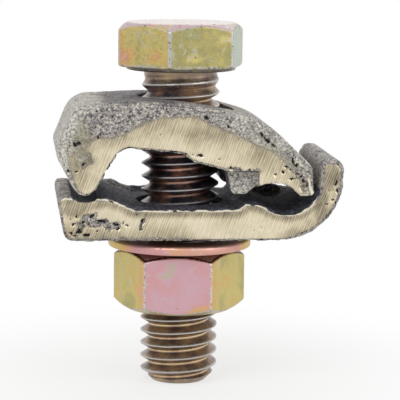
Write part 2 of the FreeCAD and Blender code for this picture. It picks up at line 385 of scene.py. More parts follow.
# Height of the flash in mm at each x
flash_line = [(-9.2, 0.0), (-8.2, 0.55), (0.8, 0.60), (1.6, 0.85), (4.2, 0.85), (5.2, 0.24), (8.6, 0.30),
              (9.7, 1.45), (12.6, 1.55), (13.6, 0.85), (14.4, 0.25), (14.9, 0.0)]


def lower_flash(p, n):
    # A ragged line of flash stands along the back edge of the top side, low under the tooth
    back_edge = smoothstep(6.2, 7.8, p.y) * smoothstep(0.6, 0.9, n.z) * smoothstep(3.0, 3.2, p.z)
    return level(p.x, flash_line) * back_edge


# Pits and unground patches of the front (-1) and the back (1)
lower_pits = {
    -1: [(-10.0, 2.5, 0.7, 0.26, -0.1), (-8.4, 2.2, 0.6, 0.24, -0.2), (-5.2, 2.6, 0.24, 0.45, 0.1),
         (-12.6, 1.3, 0.45, 0.3, 0.4), (-11.7, 0.9, 0.6, 0.2, 0.0), (-13.2, 2.2, 0.3, 0.25, 0.0),
         (-12.1, 2.4, 0.3, 0.3, 0.5), (-11.1, 3.1, 0.28, 0.2, 0.0), (-13.6, 1.2, 0.35, 0.2, 0.3),
         (-10.6, 1.3, 0.3, 0.16, 0.0), (-6.9, 2.0, 0.25, 0.15, 0.0), (-5.9, 3.3, 0.18, 0.14, 0.0),
         (-5.3, 1.5, 0.16, 0.14, 0.0), (7.3, 2.5, 0.16, 0.12, 0.0), (8.9, 1.7, 0.14, 0.12, 0.0),
         (7.9, 1.4, 0.12, 0.12, 0.0), (17.7, 7.0, 0.22, 0.6, 0.2), (17.9, 6.0, 0.3, 0.3, 0.0),
         (16.8, 6.0, 0.2, 0.16, 0.0), (2.6, 3.6, 0.14, 0.1, 0.0), (-13.5, 2.9, 0.22, 0.16, 0.2),
         (-12.9, 3.1, 0.16, 0.22, 0.0), (-11.5, 2.1, 0.26, 0.16, 0.3), (-10.9, 1.9, 0.2, 0.2, 0.0),
         (-9.3, 1.6, 0.3, 0.14, 0.1), (-8.0, 1.6, 0.22, 0.14, 0.0), (-7.4, 2.4, 0.2, 0.14, 0.3),
         (-13.1, 0.8, 0.3, 0.14, 0.0), (17.2, 4.9, 0.22, 0.16, 0.4), (16.5, 4.4, 0.16, 0.14, 0.0)],
    1: [(-4.0, 2.2, 0.8, 0.25, 0.2), (9.0, 1.3, 0.6, 0.25, -0.2), (-13.0, 3.0, 0.4, 0.5, 0.0),
        (14.8, 2.6, 0.5, 0.3, 0.6), (1.5, 1.2, 0.3, 0.2, 0.0), (-9.5, 1.1, 0.5, 0.2, 0.3)]}
lower_patches = {
    -1: [(-9.6, 2.2, 2.3, 0.65, -0.12), (-12.5, 1.6, 1.2, 0.8, 0.3), (-5.2, 2.3, 0.4, 0.7, 0.0),
         (-11.4, 2.9, 0.8, 0.3, 0.5)],
    1: [(-3.8, 2.3, 1.6, 0.6, 0.2), (-12.6, 3.2, 1.2, 1.0, 0.0), (12.5, 1.5, 1.5, 0.5, 0.3)]}
cast_surface(lower, "lower_jaw", 1, lower_past, lower_stain, lower_painted_shade, lower_smooth, lower_rim_wear_and_highlight, lower_flash,
             lower_pits, lower_patches)
lower.data.materials.append(bronze)
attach(lower, "base")
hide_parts("lower_jaw")


# Upper jaw, cast of the same bronze. Its toe rocks in the lower jaw's seat and its nose
# presses the cable into the hook. The grinder left the arm's upper part rough.

upper = even_copy("upper_jaw", "upper_jaw_casting", cast_grid)

# Upper edge of the ground area, in front and behind
arm_edge = [(-15.6, 9.0), (-14.2, 9.6), (-12.8, 10.4), (-11.6, 11.4), (-10.6, 12.3), (-8.9, 12.3),
            (-7.4, 12.8), (-5.9, 13.5), (-4.6, 13.9), (-3.1, 14.4), (-1.3, 14.7), (0.4, 14.7), (1.7, 14.4),
            (3.1, 13.7), (4.5, 13.0), (5.8, 12.4), (7.2, 11.9), (8.7, 11.3), (10.3, 10.5), (11.7, 9.4),
            (12.6, 8.2), (13.2, 7.4), (14.4, 6.6), (15.2, 5.0)]
arm_edge_behind = [(-15.4, 13.4), (-11.0, 14.4), (-6.0, 14.9), (0.0, 14.9), (5.0, 13.7), (9.0, 11.9),
                   (12.0, 9.6), (14.8, 5.6)]


def upper_past(x, z, side):
    # At the left end of the front the ground area fades out over a few mm
    if side > 0:
        return line_distance(x, z, arm_edge_behind)
    return line_distance(x, z, arm_edge) * (1.0 - 0.75 * smoothstep(-10.2, -12.4, x))


def upper_stain(x, z, side):
    # The left end keeps an olive-brown tarnish, and the middle and the nose are duller too
    if side > 0:
        return 0.0
    tarnish = blot(x, z, [(-12.6, 11.8, 2.4, 3.6, 0.25), (-12.2, 9.6, 2.2, 1.6, 0.2)])
    dull = blot(x, z, [(1.5, 12.8, 9.5, 2.2, -0.12), (10.4, 9.6, 7.5, 3.4, -0.6)])
    return max(0.9 * smoothstep(0.0, 0.6, tarnish), 0.75 * smoothstep(0.0, 1.0, dull))


def upper_painted_shade(p, n):
    # Painted shade under the arch and the cable groove, but not on the tooth's face. Painted shade
    # also lies on the crown, left of the slot.
    under = smoothstep(0.15, 0.5, -n.z) + smoothstep(0.35, 0.6, n.x) * (1.0 if p.x < -6.0 else 0.0)
    slot = smoothstep(6.6, 6.0, math.hypot(p.x - 0.6, p.y)) * (1.0 - smoothstep(0.5, 0.8, abs(n.z)))
    reach = smoothstep(-11.6, -10.8, p.x) * (1.0 - smoothstep(14.0, 14.8, p.x))
    inside = reach * max(under, slot) * (1.0 - smoothstep(14.2, 15.2, p.z))
    crown_shade = 0.5 * smoothstep(0.75, 0.95, n.z) * smoothstep(-11.0, -9.0, p.x) * smoothstep(1.0, -1.5, p.x)
    return max(min(inside, 1.0), crown_shade)


def upper_smooth_and_lit(p, n):
    # The left end's round was cast against a smooth part of the mould, and the top is fine too.
    # The tooth's face is made paler as well: painted light.
    end = smoothstep(0.25, 0.6, -n.x) * smoothstep(-9.0, -11.5, p.x)
    left = 0.85 * smoothstep(0.0, 0.4, blot(p.x, p.z, [(-13.3, 11.6, 2.2, 3.6, 0.15)]))
    lit_tooth = 0.45 if n.y < -0.5 and abs(p.y) < 8.4 and p.z < 8.3 and p.x < 9.6 else 0.0
    slope = 0.5 * smoothstep(2.0, 6.0, p.x) * smoothstep(8.6, 9.2, p.z)
    shoulder = 0.9 * smoothstep(-9.0, -11.5, p.x) * smoothstep(0.3, 0.6, n.z)
    return max(end, left, lit_tooth, slope, shoulder, 0.15 * smoothstep(0.55, 0.9, n.z))


def upper_rim_wear_and_highlight(p, n):
    # The rim is rubbed bright, with a painted highlight, brightest at the tip
    return 1.0 if p.x > 8.3 and p.z < 7.6 else 0.5 if p.z < 11.5 else 0.3


def upper_flash(p, n):
    # This casting has none that stands out, only nicks
    return 0.0


# Nicks along the arch, then pits and unground patches of the front (-1) and the back (1)
arch_nicks = [(-9.3, 8.2, 0.16, 0.4, -0.4), (-8.9, 9.1, 0.3, 0.2, 0.6), (-8.0, 10.2, 0.25, 0.2, 0.4),
              (-6.6, 10.9, 0.35, 0.14, 0.0), (-1.6, 10.6, 0.5, 0.14, -0.1), (-0.3, 10.4, 0.3, 0.14, -0.3),
              (-10.0, 7.0, 0.3, 0.14, 0.7)]
upper_pits = {
    -1: [(-12.8, 11.6, 0.6, 0.18, 0.3), (-13.1, 11.5, 0.2, 0.3, 0.0), (8.8, 12.7, 0.3, 0.5, 0.5),
         (9.4, 12.0, 0.7, 0.2, -0.6), (10.1, 11.5, 0.4, 0.24, -0.5), (2.3, 14.7, 0.3, 0.36, 0.5),
         (12.6, 9.6, 0.3, 0.55, 0.3), (12.9, 9.1, 0.4, 0.26, 0.2), (11.7, 8.9, 0.3, 0.22, 0.0),
         (11.3, 8.3, 0.24, 0.3, 0.0), (13.0, 8.1, 0.26, 0.24, 0.0), (13.5, 7.7, 0.3, 0.3, 0.0),
         (13.9, 7.2, 0.22, 0.4, 0.2), (14.3, 6.7, 0.2, 0.3, 0.2), (12.2, 8.5, 0.2, 0.3, 0.3),
         (12.7, 7.5, 0.3, 0.16, -0.4), (5.2, 8.75, 0.5, 0.14, -0.1), (7.2, 8.5, 0.6, 0.14, 0.1),
         (-3.2, 12.7, 0.12, 0.16, 0.0), (4.9, 13.6, 0.3, 0.12, -0.5), (3.8, 9.8, 0.25, 0.1, 0.0),
         (1.5, 10.25, 1.3, 0.13, -0.03), (-12.1, 9.2, 0.3, 0.2, 0.0), (-11.5, 8.9, 0.2, 0.15, 0.0),
         (-10.4, 12.4, 0.2, 0.3, 0.0), (-12.9, 8.4, 0.14, 0.2, 0.0), (10.4, 7.9, 0.3, 0.12, 0.2),
         (0.5, 12.3, 0.12, 0.08, 0.0), (12.2, 7.4, 0.4, 0.12, -0.3)] + arch_nicks,
    1: [(-9.0, 12.0, 0.8, 0.3, 0.2), (4.0, 11.2, 0.5, 0.2, -0.2), (12.0, 8.4, 0.4, 0.3, 0.3),
        (-12.6, 8.4, 0.4, 0.4, 0.0), (8.0, 10.6, 0.2, 0.2, 0.0)] + arch_nicks}
upper_patches = {
    -1: [(-12.0, 9.7, 1.5, 0.8, -0.15), (6.6, 8.5, 2.4, 0.3, -0.1), (13.6, 7.5, 2.1, 0.6, -1.1)],
    1: [(-8.6, 12.2, 1.8, 0.9, 0.2), (11.6, 8.6, 1.4, 0.8, -0.5)]}
cast_surface(upper, "upper_jaw", 2, upper_past, upper_stain, upper_painted_shade, upper_smooth_and_lit, upper_rim_wear_and_highlight, upper_flash,
             upper_pits, upper_patches)
upper.data.materials.append(bronze)
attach(upper, "jaw")
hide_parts("upper_jaw")


# Bolt. A forged 3/8 inch hexagon bolt, plated with zinc under a yellow chromate film that
# shines olive, gold, peach, pink and pale green. Its thread is rolled: the crests are
# burnished grey, a thin highlight is painted along the roots and the flanks stay brown.

def yellow_zinc():
    # Electroplated zinc with a yellow chromate film. The film's thickness sets its tint, as oil
    # on water does. Worn edges show grey zinc, and handling leaves pale scratches and dark nicks.
    material, tree = blank_material("zinc with yellow chromate")
    place = add(tree, "ShaderNodeTexCoord").outputs["Object"]
    film, worn, grime = (add(tree, "ShaderNodeAttribute", attribute_name=title).outputs["Fac"]
                         for title in ("film", "worn", "grime"))
    clouds, mottle, scuff, nicks = (
        add(tree, "ShaderNodeTexNoise", {
            "Vector": place, "Scale": 1 / (size * MM), "Detail": detail, "Roughness": roughness,
            "Distortion": distortion}).outputs["Fac"]
        for size, detail, roughness, distortion in (
            (4.5, 2.0, 0.5, 0.6), (0.9, 6.0, 0.7, 0.0), (0.5, 5.0, 0.75, 1.2), (0.32, 3.0, 0.6, 0.0)))
    thickness = film
    for pattern, share in ((clouds, 0.34), (mottle, 0.20)):
        thickness = add(tree, "ShaderNodeMath", {0: pattern, 1: share, 2: thickness},
                        operation="MULTIPLY_ADD").outputs[0]
    thickness = add(tree, "ShaderNodeMath", {0: thickness, 1: 0.27}, operation="SUBTRACT").outputs[0]
    tint = add(tree, "ShaderNodeValToRGB", {"Fac": thickness}, stops=[
        (0.08, "#B9C7B2"), (0.22, "#9F9862"), (0.34, "#CBBB76"), (0.46, "#D2AE69"), (0.57, "#D7A586"),
        (0.67, "#D29E9F"), (0.79, "#CFA8B2"), (0.92, "#BCB59A")]).outputs["Color"]

    # Scuffed places, dark nicks, dirt and painted shade, and long scratches 0.1 mm wide
    slanted = add(tree, "ShaderNodeMapping", {"Vector": place, "Rotation": (0.7, 0.9, 0.4)},
                  vector_type="POINT").outputs["Vector"]
    slanted = add(tree, "ShaderNodeVectorMath", {0: slanted, 1: (0.12, 1.0, 0.12)},
                  operation="MULTIPLY").outputs["Vector"]
    scratch = add(tree, "ShaderNodeTexNoise", {
        "Vector": slanted, "Scale": 1 / (0.3 * MM), "Detail": 1.0, "Distortion": 0.3}).outputs["Fac"]
    bare = add(tree, "ShaderNodeMath", {0: scuff, 1: worn}, operation="ADD").outputs[0]
    nicked = add(tree, "ShaderNodeMath", {0: worn, 1: -0.38, 2: nicks}, operation="MULTIPLY_ADD").outputs[0]
    # Dark dirt and painted shade share this one layer
    dirt_and_shade = add(tree, "ShaderNodeMath", {0: scuff, 1: 0.6, 2: grime}, operation="MULTIPLY_ADD").outputs[0]
    bare, nicked, dirt_and_shade, scratched = (
        add(tree, "ShaderNodeMapRange", {"Value": value, "From Min": low, "From Max": high, "To Max": most},
            interpolation_type="SMOOTHSTEP").outputs["Result"]
        for value, low, high, most in (
            (bare, 0.68, 0.88, 1.0), (nicked, 0.30, 0.22, 1.0), (dirt_and_shade, 0.50, 1.00, 1.0),
            (scratch, 0.66, 0.76, 0.60)))
    bare = add(tree, "ShaderNodeMath", {0: bare, 1: scratched}, operation="MAXIMUM").outputs[0]
    colour = tint
    for share, over in ((bare, "#C9C8C6"), (nicked, "#5B564C"), (dirt_and_shade, "#453A38")):
        colour = add(tree, "ShaderNodeMix", {0: share, 6: colour, 7: linear(over)},
                     data_type="RGBA").outputs[2]
    gloss = add(tree, "ShaderNodeMapRange", {"Value": mottle, "From Min": 0.3, "From Max": 0.7,
                                             "To Min": 0.30, "To Max": 0.48}).outputs["Result"]
    metal_finish(tree, colour, 0.75, gloss, scuff, 0.02 * MM)
    return material


def rolled_thread():
    # The same plating on a rolled thread. The turn layer is 1 at the crest, which is burnished grey,
    # another layer is 1 on a thin painted highlight along the root, and the flanks are brown with old
    # film and oil. A third layer marks the stretch inside the jaws and the neck's left side above them,
    # where darker colours tinted copper paint the shade and a coppery reflection.
    material, tree = blank_material("rolled thread, plated")
    place = add(tree, "ShaderNodeTexCoord").outputs["Object"]
    turn, glint, zone = (add(tree, "ShaderNodeAttribute", attribute_name=title).outputs["Fac"]
                         for title in ("turn", "glint", "zone"))
    patches = add(tree, "ShaderNodeTexNoise", {
        "Vector": place, "Scale": 1 / (1.8 * MM), "Detail": 3.0, "Roughness": 0.6}).outputs["Fac"]
    scuff = add(tree, "ShaderNodeTexNoise", {
        "Vector": place, "Scale": 1 / (0.35 * MM), "Detail": 4.0, "Roughness": 0.7}).outputs["Fac"]
    flank, shade_and_copper_reflection, root = (
        add(tree, "ShaderNodeValToRGB", {"Fac": patches}, stops=stops).outputs["Color"]
        for stops in (
            [(0.32, "#6C5D53"), (0.47, "#8A7667"), (0.56, "#9A846C"), (0.68, "#AD9472")],
            [(0.38, "#47454D"), (0.50, "#73676A"), (0.60, "#A38373"), (0.70, "#CBA18B")],
            [(0.40, "#D2A98A"), (0.52, "#E4CF98"), (0.62, "#E0BFA4")]))
    # Inside the shaded stretch the flanks, roots and crests take darker, copper-tinted colours: painted shade
    # and a painted copper reflection
    flank, root, burnished = (
        add(tree, "ShaderNodeMix", {0: zone, 6: outside, 7: within}, data_type="RGBA").outputs[2]
        for outside, within in (
            (flank, shade_and_copper_reflection), (root, linear("#B07E66")), (linear("#BDB8B2"), linear("#B2AEB0"))))
    crest = add(tree, "ShaderNodeMath", {0: scuff, 1: 0.5, 2: turn}, operation="MULTIPLY_ADD").outputs[0]
    crest = add(tree, "ShaderNodeMapRange", {"Value": crest, "From Min": 1.04, "From Max": 1.22},
                interpolation_type="SMOOTHSTEP").outputs["Result"]
    colour = flank
    # The root line is a painted highlight; the crest is burnished
    for share, over in ((glint, root), (crest, burnished)):
        colour = add(tree, "ShaderNodeMix", {0: share, 6: colour, 7: over}, data_type="RGBA").outputs[2]
    gloss = add(tree, "ShaderNodeMapRange", {
        "Value": scuff, "From Min": 0.3, "From Max": 0.7, "To Min": 0.26, "To Max": 0.44}).outputs["Result"]
    metal_finish(tree, colour, 0.85, gloss, scuff, 0.03 * MM, {"Coat Weight": 0.25, "Coat Roughness": 0.2})
    return material


bolt_low, bolt_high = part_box("hex_bolt")
bearing_z = 19.65
thread_crest = 4.7
thread_pitch = 1.5875
thread_depth = 17 * math.sqrt(3) / 48 * thread_pitch
thread_runout = 4.4
front_crest_z = -13.544

thread_finish = rolled_thread()


def thread_tree():
    # A strip one pitch wide is wound round the axis. Each turn meets the next, and both ends are
    # drawn in to the end's own height, so that one ring is left there to close.
    tree = bpy.data.node_groups.new("rolled thread", "GeometryNodeTree")
    tree.interface.new_socket(name="Thread", in_out="OUTPUT", socket_type="NodeSocketGeometry")
    keys = {}
    for name, kind in (("Bottom", "Float"), ("Top", "Float"), ("Pitch", "Float"), ("Crest radius", "Float"),
                       ("Depth", "Float"), ("Run-out", "Float"), ("Lowest crest", "Float"),
                       ("Steps per turn", "Int"), ("Finish", "Material")):
        socket = tree.interface.new_socket(name=name, in_out="INPUT", socket_type="NodeSocket" + kind)
        keys[name] = socket.identifier
    given = add(tree, "NodeGroupInput").outputs

    span = add(tree, "ShaderNodeMath", {0: given["Top"], 1: given["Bottom"]}, operation="SUBTRACT").outputs[0]
    turns = add(tree, "ShaderNodeMath", {0: span, 1: given["Pitch"]}, operation="DIVIDE").outputs[0]
    turns = add(tree, "ShaderNodeMath", {0: turns}, operation="CEIL").outputs[0]
    turns = add(tree, "ShaderNodeMath", {0: turns, 1: 3.0}, operation="ADD").outputs[0]
    steps = add(tree, "ShaderNodeMath", {0: turns, 1: given["Steps per turn"], 2: 1.0},
                operation="MULTIPLY_ADD").outputs[0]
    strip = add(tree, "GeometryNodeMeshGrid", {
        "Size X": 1.0, "Size Y": 1.0, "Vertices X": steps, "Vertices Y": 25}).outputs["Mesh"]
    spot = add(tree, "ShaderNodeSeparateXYZ", {0: add(tree, "GeometryNodeInputPosition").outputs[0]})
    along = add(tree, "ShaderNodeMath", {0: spot.outputs["X"], 1: 0.5}, operation="ADD").outputs[0]
    along = add(tree, "ShaderNodeMath", {0: along, 1: turns}, operation="MULTIPLY").outputs[0]
    angle = add(tree, "ShaderNodeMath", {0: along, 1: 2 * math.pi}, operation="MULTIPLY").outputs[0]

    # The strip's middle is the crest, and its first turn starts two pitches low
    rise = add(tree, "ShaderNodeMath", {0: along, 1: spot.outputs["Y"]}, operation="ADD").outputs[0]
    rise = add(tree, "ShaderNodeMath", {0: rise, 1: 2.0}, operation="SUBTRACT").outputs[0]
    height = add(tree, "ShaderNodeMath", {0: rise, 1: given["Pitch"], 2: given["Lowest crest"]},
                 operation="MULTIPLY_ADD").outputs[0]
    held = add(tree, "ShaderNodeClamp", {
        "Value": height, "Min": given["Bottom"], "Max": given["Top"]}).outputs[0]

    # A crest of a twelfth of the pitch, a root of a sixth, and straight flanks between them
    off_crest = add(tree, "ShaderNodeMath", {0: spot.outputs["Y"]}, operation="ABSOLUTE").outputs[0]
    sunk = add(tree, "ShaderNodeMapRange", {
        "Value": off_crest, "From Min": 1 / 24, "From Max": 5 / 12}).outputs["Result"]
    above = add(tree, "ShaderNodeMath", {0: given["Top"], 1: held}, operation="SUBTRACT").outputs[0]
    below = add(tree, "ShaderNodeMath", {0: held, 1: given["Bottom"]}, operation="SUBTRACT").outputs[0]
    cut = add(tree, "ShaderNodeMapRange", {"Value": above, "From Max": given["Run-out"], "To Min": 0.06},
              interpolation_type="SMOOTHSTEP").outputs["Result"]
    cut = add(tree, "ShaderNodeMath", {0: cut, 1: given["Depth"]}, operation="MULTIPLY").outputs[0]
    sunk = add(tree, "ShaderNodeMath", {0: sunk, 1: cut}, operation="MULTIPLY").outputs[0]
    radius = add(tree, "ShaderNodeMath", {0: given["Crest radius"], 1: sunk}, operation="SUBTRACT").outputs[0]

    # Towards the head the blank is thinner than the thread, and the point is chamfered to
    # well below the root
    neck = add(tree, "ShaderNodeMath", {0: given["Run-out"], 1: 0.5}, operation="MULTIPLY").outputs[0]
    blank = add(tree, "ShaderNodeMapRange", {"Value": above, "From Max": neck, "To Min": 0.94},
                interpolation_type="SMOOTHSTEP").outputs["Result"]
    radius = add(tree, "ShaderNodeMath", {0: radius, 1: blank}, operation="MULTIPLY").outputs[0]
    tip = add(tree, "ShaderNodeMath", {0: given["Depth"], 1: -1.4, 2: given["Crest radius"]},
              operation="MULTIPLY_ADD").outputs[0]
    point = add(tree, "ShaderNodeMath", {0: tip, 1: below}, operation="ADD").outputs[0]
    radius = add(tree, "ShaderNodeMath", {0: radius, 1: point}, operation="MINIMUM").outputs[0]
    across, deep = (
        add(tree, "ShaderNodeMath", {0: angle}, operation=part).outputs[0] for part in ("COSINE", "SINE"))
    across, deep = (
        add(tree, "ShaderNodeMath", {0: part, 1: radius}, operation="MULTIPLY").outputs[0]
        for part in (across, deep))
    placed = add(tree, "ShaderNodeCombineXYZ", {0: across, 1: deep, 2: held}).outputs[0]
    wound = add(tree, "GeometryNodeSetPosition", {"Geometry": strip, "Position": placed}).outputs[0]
    joined = add(tree, "GeometryNodeMergeByDistance", {"Geometry": wound, "Distance": 1e-7}).outputs[0]
    finished = add(tree, "GeometryNodeSetMaterial", {
        "Geometry": joined, "Material": given["Finish"]}).outputs[0]
    realised = add(tree, "GeometryNodeRealizeInstances", {"Geometry": finished}).outputs[0]
    add(tree, "NodeGroupOutput", {0: realised})
    return tree, keys


def closed_solid(mesh):
    # Merges doubles, caps each open ring and turns all faces outwards
    solid = bmesh.new()
    solid.from_mesh(mesh)
    bmesh.ops.remove_doubles(solid, verts=solid.verts, dist=2e-7)
    bmesh.ops.dissolve_degenerate(solid, edges=solid.edges, dist=1e-8)
    bmesh.ops.holes_fill(solid, edges=[edge for edge in solid.edges if edge.is_boundary], sides=0)
    bmesh.ops.recalc_face_normals(solid, faces=solid.faces)
    solid.to_mesh(mesh)
    solid.free()
    mesh.shade_smooth()


def write_layers(piece, **layers):
    # A number at each point, from a function of its place in mm
    places = [vertex.co / MM for vertex in piece.data.vertices]
    for title, value_of in layers.items():
        store(piece.data, title, [value_of(*place) for place in places])


tree, keys = thread_tree()
thread = in_scene("bolt_thread", bpy.data.meshes.new("bolt_thread"))
winding = thread.modifiers.new("winding", "NODES")
winding.node_group = tree
thread_low = bolt_low[2] / MM

# The strip starts on the +X side, three quarters of a turn before the front
lowest_crest = front_crest_z - 0.75 * thread_pitch
lowest_crest -= thread_pitch * math.ceil((lowest_crest - thread_low) / thread_pitch)
for name, value in (
        ("Bottom", thread_low * MM), ("Top", (bearing_z + 0.2) * MM), ("Pitch", thread_pitch * MM),
        ("Crest radius", thread_crest * MM), ("Depth", thread_depth * MM), ("Run-out", thread_runout * MM),
        ("Lowest crest", lowest_crest * MM), ("Steps per turn", 60), ("Finish", thread_finish)):
    winding[keys[name]] = value
settle(thread)
closed_solid(thread.data)
thread.data.set_sharp_from_angle(angle=math.radians(28))


def root_glint(x, y, z):
    # A painted highlight: a line a tenth of a pitch wide, just above the middle of the root
    phase = ((z - lowest_crest) / thread_pitch - math.atan2(y, x) / (2 * math.pi)) % 1.0
    ends = smoothstep(thread_low + 0.5, thread_low + 0.9, z) * (1.0 - smoothstep(16.0, 18.5, z))
    return ends * (1.0 - smoothstep(0.02, 0.07, abs(phase - 0.53)))


def height_on_turn(x, y, z):
    return (math.hypot(x, y) - thread_crest + thread_depth) / thread_depth


def jaw_zone(x, y, z):
    # Painted shade: the stretch inside the jaws, and the neck's left side above them, under the head
    neck = 0.9 * smoothstep(2.5, -1.5, x) * smoothstep(18.5, 17.0, z)
    return smoothstep(2.0, 4.0, z) * (1.0 - smoothstep(13.5, 15.5, z) * (1.0 - neck))


write_layers(thread, turn=height_on_turn, glint=root_glint, zone=jaw_zone)
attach(thread, "bolt")


def soft_min(a, b, width):
    # Smaller of two values, with a round of the given width where they cross
    h = max(width - abs(a - b), 0.0) / width
    return min(a, b) - h * h * width * 0.25


def hexagon_reach(across_flats, angle, clocking):
    # Distance from the axis to a hexagon's wall, with its corners a little rounded
    walls = sorted((across_flats / 2) / max(math.cos(angle - clocking - math.pi / 6 - k * math.pi / 3), 0.2)
                   for k in range(6))
    return soft_min(walls[0], walls[1], 0.22)


def ringed_solid(name, rows, around):
    # Closed solid from rows of (function of the angle that gives the radius, z). A row with no
    # function lies on the axis, and rows that never reach it close on themselves.
    mesh = bpy.data.meshes.new(name)
    verts, faces = [], []
    for reach, z in rows:
        for k in range(around):
            angle = 2 * math.pi * k / around
            radius = reach(angle) if reach else 0.0
            verts.append((radius * math.cos(angle) * MM, radius * math.sin(angle) * MM, z * MM))
    count = len(rows)
    for row in range(count - 1 if rows[0][0] is None else count):
        low, high = row * around, ((row + 1) % count) * around
        for k in range(around):
            following = (k + 1) % around
            faces.append((low + k, low + following, high + following, high + k))
    mesh.from_pydata(verts, [], faces)
    closed_solid(mesh)
    return in_scene(name, mesh)


def ring(radius):
    return lambda angle: radius


plated = yellow_zinc()

# Points in each ring of the head and the nut
around = 336
head_flats = 13.9
head_clocking = math.radians(15.0)
head_top = bolt_high[2] / MM
head_rim = head_flats / 2 - 0.48
head_steps = 52
under_head = bearing_z + 0.4
foot_round = 0.22
collar = head_flats / 2 - 0.35
chamfer = math.tan(math.radians(30.0))


def cone_reach(z, low, high, rim):
    # Radius of the chamfer's cone, which starts at a face and opens away from it
    return rim + min(high - z, z - low) / chamfer


def head_wall(z, inset=0.0):
    # The chamfer is full at the top and no more than a broken corner at the bottom
    cone = cone_reach(z, under_head - 0.65, head_top, head_rim)
    return lambda angle: soft_min(hexagon_reach(head_flats, angle, head_clocking), cone, 0.20) - inset


head_rows = [(None, bearing_z + 0.05), (ring(4.6), bearing_z + 0.05), (ring(5.4), bearing_z),
             (ring(collar - 0.3), bearing_z), (ring(collar - 0.06), bearing_z + 0.06),
             (ring(collar), bearing_z + 0.22), (ring(collar), bearing_z + 0.34),
             (ring(collar + 0.03), under_head)]
for inset, lift in ((0.22, 0.0), (0.08, 0.03), (0.02, 0.10), (0.0, foot_round)):
    head_rows.append((head_wall(under_head + lift, inset), under_head + lift))
for step in range(1, head_steps + 1):
    height = under_head + foot_round + (head_top - under_head - foot_round) * step / head_steps
    head_rows.append((head_wall(height), height))
head_rows += [(ring(radius), head_top) for radius in (6.3, 5.8, 4.8, 3.4, 1.7)]
head_rows.append((None, head_top))
head = ringed_solid("bolt_head", head_rows, around)


def flat_number(x, y, clocking):
    # Number of the flat at a place, 0 to 5, and how near it is to a corner, from 0 to 1
    turn = math.degrees(math.atan2(y, x) - clocking) % 360
    return int(turn // 60), abs((turn % 60) / 30 - 1)


def past_wall(x, y, z, flats, clocking, low, high, rim):
    # Positive on the chamfer and negative on the flats, in mm of radius
    return hexagon_reach(flats, math.atan2(y, x), clocking) - cone_reach(z, low, high, rim)


def cloud(x, z, clouds):
    # Soft share of a ragged cloud at a place on a flat
    drift = noise.noise_vector(Vector((x, 3.0, z)) * 0.9)
    crumb = noise.noise(Vector((x, 9.0, z)) * 2.6)
    x += 0.9 * drift.x + 0.2 * crumb
    z += 0.9 * drift.z + 0.2 * crumb
    return smoothstep(0.0, 0.95, blot(x, z, clouds))


def on_lid(z):
    return z > head_top - 0.02


def head_edge(x, y, z):
    # Only the upper chamfer counts, so the lower one is put far below
    return past_wall(x, y, z, head_flats, head_clocking, under_head - 10.0, head_top, head_rim)


def head_film(x, y, z):
    number, corner = flat_number(x, y, head_clocking)
    if on_lid(z):
        return 0.84
    if head_edge(x, y, z) > 0.0:
        return 0.82 - 0.42 * cloud(x, z, [(-2.6, 25.0, 2.4, 0.8, 0.0)])
    # Flats in turn: three behind, front left, front right, right
    film = (0.34, 0.46, 0.30, 0.33, 0.22, 0.05)[number]
    if number == 3:
        film += 0.24 * cloud(x, z, [(-6.6, 21.5, 1.3, 1.4, 0.0), (-3.6, 21.4, 1.4, 1.2, 0.1)])
        film += 0.16 * smoothstep(0.6, 1.0, corner) * (1.0 if x < -5.0 else 0.5)
    if number == 4:
        film += 0.10 * cloud(x, z, [(1.2, 21.2, 1.8, 1.0, 0.2), (5.2, 23.6, 1.6, 1.0, -0.3)])
    return film


def head_wear(x, y, z):
    # Along the corners and edges, and in places where a spanner has rubbed
    corner = flat_number(x, y, head_clocking)[1]
    edge = head_edge(x, y, z)
    upright = smoothstep(0.90, 0.97, corner)
    crease = 1.0 - smoothstep(0.0, 0.30, abs(edge))
    foot = smoothstep(under_head + 0.9, under_head + 0.1, z)
    lid = 0.30 if on_lid(z) else (0.24 if edge > 0.0 else 0.0)
    rubbed = 0.10 + 0.14 * cloud(x, z, [
        (-5.0, 24.2, 2.6, 0.7, 0.0), (-4.6, 22.3, 0.4, 1.6, 0.2), (0.6, 22.2, 0.8, 2.0, 0.0),
        (5.4, 23.4, 1.6, 1.2, -0.2), (3.0, 21.2, 2.4, 0.5, 0.0)])
    return max(0.36 * upright, 0.36 * crease, 0.30 * foot, lid, rubbed)


def head_grime(x, y, z):
    # Painted shade under the head, dirt in flecks down the worn corners, and a little all over
    corner = flat_number(x, y, head_clocking)[1]
    # Painted shade under the head
    below = 0.55 * smoothstep(under_head + 0.06, under_head - 0.06, z)
    return max(below, 0.34 * smoothstep(0.92, 0.98, corner), 0.16 if on_lid(z) else 0.31)


write_layers(head, film=head_film, worn=head_wear, grime=head_grime)
head.data.materials.append(plated)
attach(head, "bolt")
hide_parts("hex_bolt")
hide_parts("hex_bolt")


# Washer. Stamped from strip and plated like the bolt, so its rims are a little rounded
# and pink where the film is thick.

